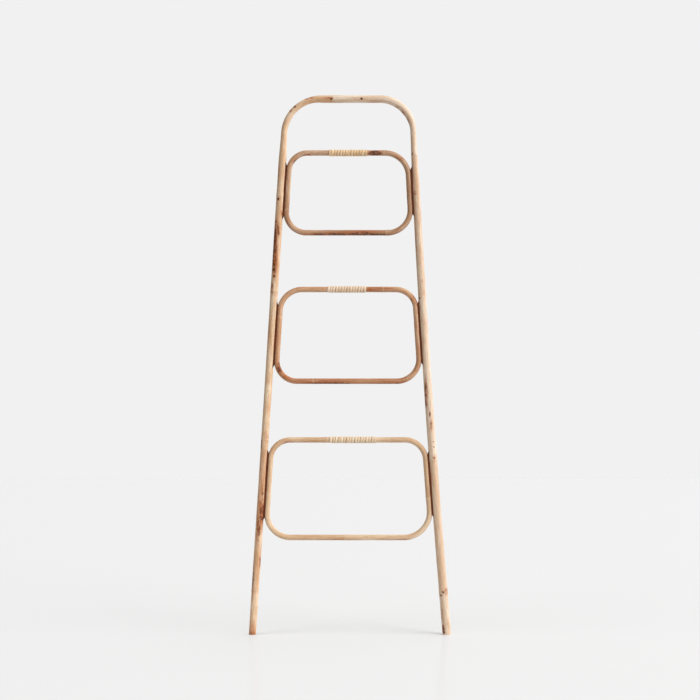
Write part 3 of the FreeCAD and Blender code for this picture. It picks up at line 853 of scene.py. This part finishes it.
def dark_hardwood():
    """Planed hardwood in dark brown: straight pores 18 mm long, drawn 0.6 mm wide so that they show."""
    material, tree, wood = new_material("dark_brown_hardwood")
    place = add(tree, "ShaderNodeTexCoord", out="Object")
    repeats = (1000 / 0.6, 1000 / 0.6, 1000 / 18)
    stretched = add(tree, "ShaderNodeVectorMath", place, repeats, operation="MULTIPLY")
    pores = add(tree, "ShaderNodeTexNoise", stretched, 1.0, 2.0)
    clouds = add(tree, "ShaderNodeTexNoise", place, 1000 / 25, 2.0)
    lines = add(tree, "ShaderNodeMapRange", pores, 0.4, 0.7, 0.0, 0.8)
    tone = add(tree, "ShaderNodeMix", clouds, linear("#7E3A0E"), linear("#4A1F08"), data_type="RGBA")
    tone = add(tree, "ShaderNodeMix", lines, tone, linear("#2A0F04"), data_type="RGBA")
    tree.links.new(tone, wood["Base Color"])
    wood["Specular IOR Level"].default_value = 0.3
    tree.links.new(add(tree, "ShaderNodeMapRange", pores, 0.3, 0.7, 0.6, 0.8), wood["Roughness"])
    tree.links.new(add(tree, "ShaderNodeBump", 0.4, 0.12 * MM, None, pores), wood["Normal"])
    return material


HARDWOOD = dark_hardwood()
for name in HOOPS:
    for side in LEGS:
        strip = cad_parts[f"hoop_{name}_filler_{side}"]
        strip.data.materials.clear()
        strip.data.materials.append(HARDWOOD)

# ---------------------------------------------------------------------------
# Nails, brads and screws.
# Soft steel wire nails and brads, dulled by the lacquer, and countersunk screws with a yellow
# zinc finish, driven from the inner side of each hoop into the leg.
# ---------------------------------------------------------------------------


def dulled_steel(name, bright, dark, roughness):
    """Drawn or plated steel under old lacquer: metal, with duller spots about 1 mm wide."""
    material, tree, steel = new_material(name)
    place = add(tree, "ShaderNodeTexCoord", out="Object")
    spots = add(tree, "ShaderNodeTexNoise", place, 1000.0, 3.0)
    tone = add(tree, "ShaderNodeMix", spots, linear(dark), linear(bright), data_type="RGBA")
    tree.links.new(tone, steel["Base Color"])
    dulled = add(tree, "ShaderNodeMapRange", spots, 0.3, 0.7, roughness + 0.15, roughness)
    tree.links.new(dulled, steel["Roughness"])
    tree.links.new(add(tree, "ShaderNodeBump", 0.2, 0.05 * MM, None, spots), steel["Normal"])
    steel["Metallic"].default_value = 1.0
    return material


WIRE = dulled_steel("lacquered_steel_wire", "#6E5C4E", "#2E2019", 0.45)
ZINC = dulled_steel("yellow_zinc_plated_steel", "#C8AE74", "#8E7650", 0.3)
for name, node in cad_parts.items():
    metal = ZINC if "screws" in name else WIRE if "nails" in name or "brads" in name else None
    if metal:
        node.data.materials.clear()
        node.data.materials.append(metal)

# ---------------------------------------------------------------------------
# The studio.
# A pale floor that runs into a plain background, daylight brighter from the upper right, and a soft
# lamp on each side that throws a short shadow inward from the foot on its side.
# ---------------------------------------------------------------------------
BACKGROUND = "#F1F1F1"
DAYLIGHT = 0.72
BRIGHT_SIDE = Vector((0.9, 0, 0.436))
ONE_SIDED = 0.95  # how much brighter the daylight is from the bright side, and darker from the other
LAMPS = (("lamp_right", 2.1, 1), ("lamp_left", 1.8, -1))  # name, strength and side
LAMP_ANGLE = math.radians(44)  # wide, for soft shadows
FLOOR_SIDE, FLOOR_FRONT, FLOOR_BACK = 2.6, -1.2, 6.0  # short in front, to throw little light up
FLOOR_GLOSS = 0.08
SATIN = 0.16  # roughness of the floor's gloss
scene.view_settings.view_transform = "Standard"
world = bpy.data.worlds.new("studio")
scene.world = world
world.use_nodes = True
sky = world.node_tree
sky.nodes.clear()
direction = add(sky, "ShaderNodeTexCoord", out="Generated")
facing = add(sky, "ShaderNodeVectorMath", direction, BRIGHT_SIDE, operation="DOT_PRODUCT", out="Value")
brightness = add(sky, "ShaderNodeMath", facing, DAYLIGHT * ONE_SIDED, DAYLIGHT, operation="MULTIPLY_ADD")
daylight = add(sky, "ShaderNodeBackground", (1.0, 1.0, 1.0, 1.0), brightness)
backdrop = add(sky, "ShaderNodeBackground", linear(BACKGROUND), 1.0)
seen = add(sky, "ShaderNodeLightPath", out="Is Camera Ray")
add(sky, "ShaderNodeOutputWorld", add(sky, "ShaderNodeMixShader", seen, daylight, backdrop))

floor_mesh = bpy.data.meshes.new("pale_floor")
corners = [(-FLOOR_SIDE, FLOOR_FRONT, 0), (FLOOR_SIDE, FLOOR_FRONT, 0)]
corners += [(FLOOR_SIDE, FLOOR_BACK, 0), (-FLOOR_SIDE, FLOOR_BACK, 0)]
floor_mesh.from_pydata(corners, [], [(0, 1, 2, 3)])
floor = bpy.data.objects.new("pale_floor", floor_mesh)
scene.collection.objects.link(floor)
# how bright a white floor would be: the daylight from the whole sky, and then each lamp's part
floor_level = DAYLIGHT * (1 + ONE_SIDED * BRIGHT_SIDE.z * 2 / 3)
for name, strength, side in LAMPS:
    light = bpy.data.lights.new(name, "SUN")
    light.energy = strength
    light.angle = LAMP_ANGLE
    lamp = bpy.data.objects.new(name, light)
    towards = Vector((-2.0 * side, 1.0, -1.6)).normalized()
    lamp.rotation_euler = towards.to_track_quat("-Z", "Y").to_euler()
    lamp.visible_glossy = False  # the satin floor mirrors the daylight only
    scene.collection.objects.link(lamp)
    floor_level += strength * -towards.z / math.pi
    # each lamp shines through the far frame cane, so that each foot has only the one shadow
    other = "rattan_frame_left" if side > 0 else "rattan_frame_right"
    unshadowed = bpy.data.collections.new(name + "_passes")
    unshadowed.objects.link(bpy.data.objects[other])
    lamp.light_linking.blocker_collection = unshadowed
    unshadowed.collection_objects[0].light_linking.link_state = "EXCLUDE"
    if side < 0:
        # the left lamp is only there for the shadow on the floor, and leaves the rack's left side dim
        lit = bpy.data.collections.new(name + "_lights")
        lit.objects.link(floor)
        lamp.light_linking.receiver_collection = lit
paint = bpy.data.materials.new("satin_floor_paint")
paint.use_nodes = True
coats = paint.node_tree
coats.nodes.clear()
wanted = linear(BACKGROUND)[0]
albedo = (wanted - FLOOR_GLOSS * DAYLIGHT) / ((1 - FLOOR_GLOSS) * floor_level)
matt = add(coats, "ShaderNodeBsdfDiffuse", (albedo, albedo, albedo, 1.0))
satin = add(coats, "ShaderNodeBsdfGlossy", (1.0, 1.0, 1.0, 1.0), SATIN)
add(coats, "ShaderNodeOutputMaterial", add(coats, "ShaderNodeMixShader", FLOOR_GLOSS, matt, satin))
floor_mesh.materials.append(paint)

# ---------------------------------------------------------------------------
# The camera.
# It is level and straight in front of the rack, a little above half its height, and far enough off
# to draw it nearly flat.
# ---------------------------------------------------------------------------
CAMERA_DISTANCE = 5.0
CAMERA_HEIGHT = 870.3 * MM
VIEW_HEIGHT = 2.1428  # how much of the rack's plane the view takes in
camera_data = bpy.data.cameras.new("front")
camera = bpy.data.objects.new("front", camera_data)
scene.collection.objects.link(camera)
camera.location = (0, -CAMERA_DISTANCE, CAMERA_HEIGHT)
camera.rotation_euler = (math.pi / 2, 0, 0)
camera_data.sensor_width = 36.0
camera_data.lens = camera_data.sensor_width * CAMERA_DISTANCE / VIEW_HEIGHT
scene.camera = camera
